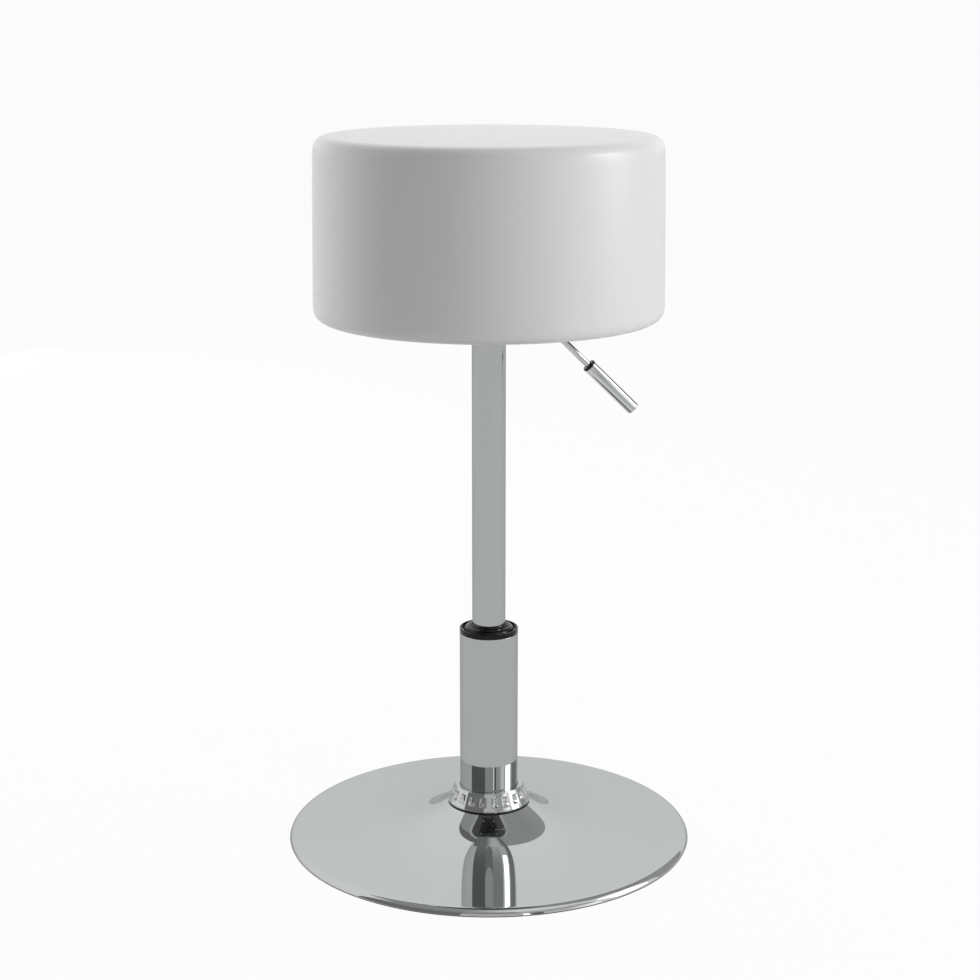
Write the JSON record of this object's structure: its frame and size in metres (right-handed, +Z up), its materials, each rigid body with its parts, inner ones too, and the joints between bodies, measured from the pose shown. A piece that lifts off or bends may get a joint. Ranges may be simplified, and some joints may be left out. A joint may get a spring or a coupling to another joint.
{
  "type": "adjustable swivel stool",
  "caption": "Round upholstered drum-seat swivel stool on a chromed gas-lift column with a release lever and a flared round base.",
  "frame": {"origin": "on the floor, under the middle of the column", "axes": "+Z up along the column; -Y towards the picture's camera; the lever points to +X, turned 10 degrees towards +Y"},
  "size_m": [0.42, 0.42, 0.73],
  "materials": {
    "chrome": "bright polished chrome plating",
    "black_plastic": "semi-gloss moulded plastic",
    "rubber": "matt moulded rubber",
    "bright_steel": "zinc-plated or ground steel",
    "black_paint": "satin black powder coat",
    "aluminium": "turned",
    "brass": "turned",
    "plywood": "raw birch plywood",
    "white_cover": "smooth white leather-like vinyl with a fine grain",
    "foam": "open-cell foam",
    "dust_cloth": "grey non-woven cloth"
  },
  "bodies": {
    "base": {"base_shell": "chrome", "floor_ring": "rubber", "ballast_plate": "black_paint", "foot_plate": "black_paint", "foot_screws": "bright_steel", "outer_tube": "chrome", "shell_support_ring": "black_paint", "trim_ring": "chrome", "guide_bush": "black_plastic", "wiper_seal": "rubber", "lower_race": "bright_steel", "ball_cage": "black_plastic", "bearing_balls": "bright_steel"},
    "rod": {"upper_race": "bright_steel", "rubber_buffer": "rubber", "piston_rod": "bright_steel", "piston": "aluminium", "piston_seal": "rubber", "rod_washer": "bright_steel", "rod_clip": "bright_steel"},
    "seat": {"upper_tube": "chrome", "pressure_tube": "bright_steel", "rod_guide": "black_plastic", "rod_seal": "rubber", "valve_body": "brass", "valve_seals": "rubber", "taper_socket": "black_paint", "seat_plate": "black_paint", "lever_lugs": "black_paint", "pivot_pin": "bright_steel", "pivot_clip": "bright_steel", "seat_bolts": "bright_steel", "bolt_washers": "bright_steel", "tee_nuts": "bright_steel", "seat_board": "plywood", "seat_hoop": "plywood", "top_board": "plywood", "dust_cloth": "dust_cloth", "cushion_foam": "foam", "cushion_cover": "white_cover"},
    "lever": {"lever_rod": "chrome", "lever_handle": "chrome", "lever_cap": "black_plastic"},
    "valve": {"valve_pin": "bright_steel"}
  },
  "joints": [
    {"name": "seat_swivel", "type": "hinge", "parent": "base", "child": "rod", "pos_m": [0, 0, 0.0145], "axis": [0, 0, 1], "continuous": true},
    {"name": "seat_lift", "type": "slide", "parent": "rod", "child": "seat", "axis": [0, 0, 1], "range_m": [-0.12, 0]},
    {"name": "lever_pull", "type": "hinge", "parent": "seat", "child": "lever", "pos_m": [0.05948, 0.01049, 0.54], "axis": [0.1736, -0.9848, 0], "range_deg": [0, 5], "stiffness_Nm_per_rad": 3, "springref_deg": -5.73},
    {"name": "valve_press", "type": "slide", "parent": "seat", "child": "valve", "axis": [0, 0, -1], "range_m": [0, 0.0056]}
  ],
  "couplings": [
    {"joint": "valve_press", "follows": "lever_pull", "m_per_rad": 0.0604}
  ]
}
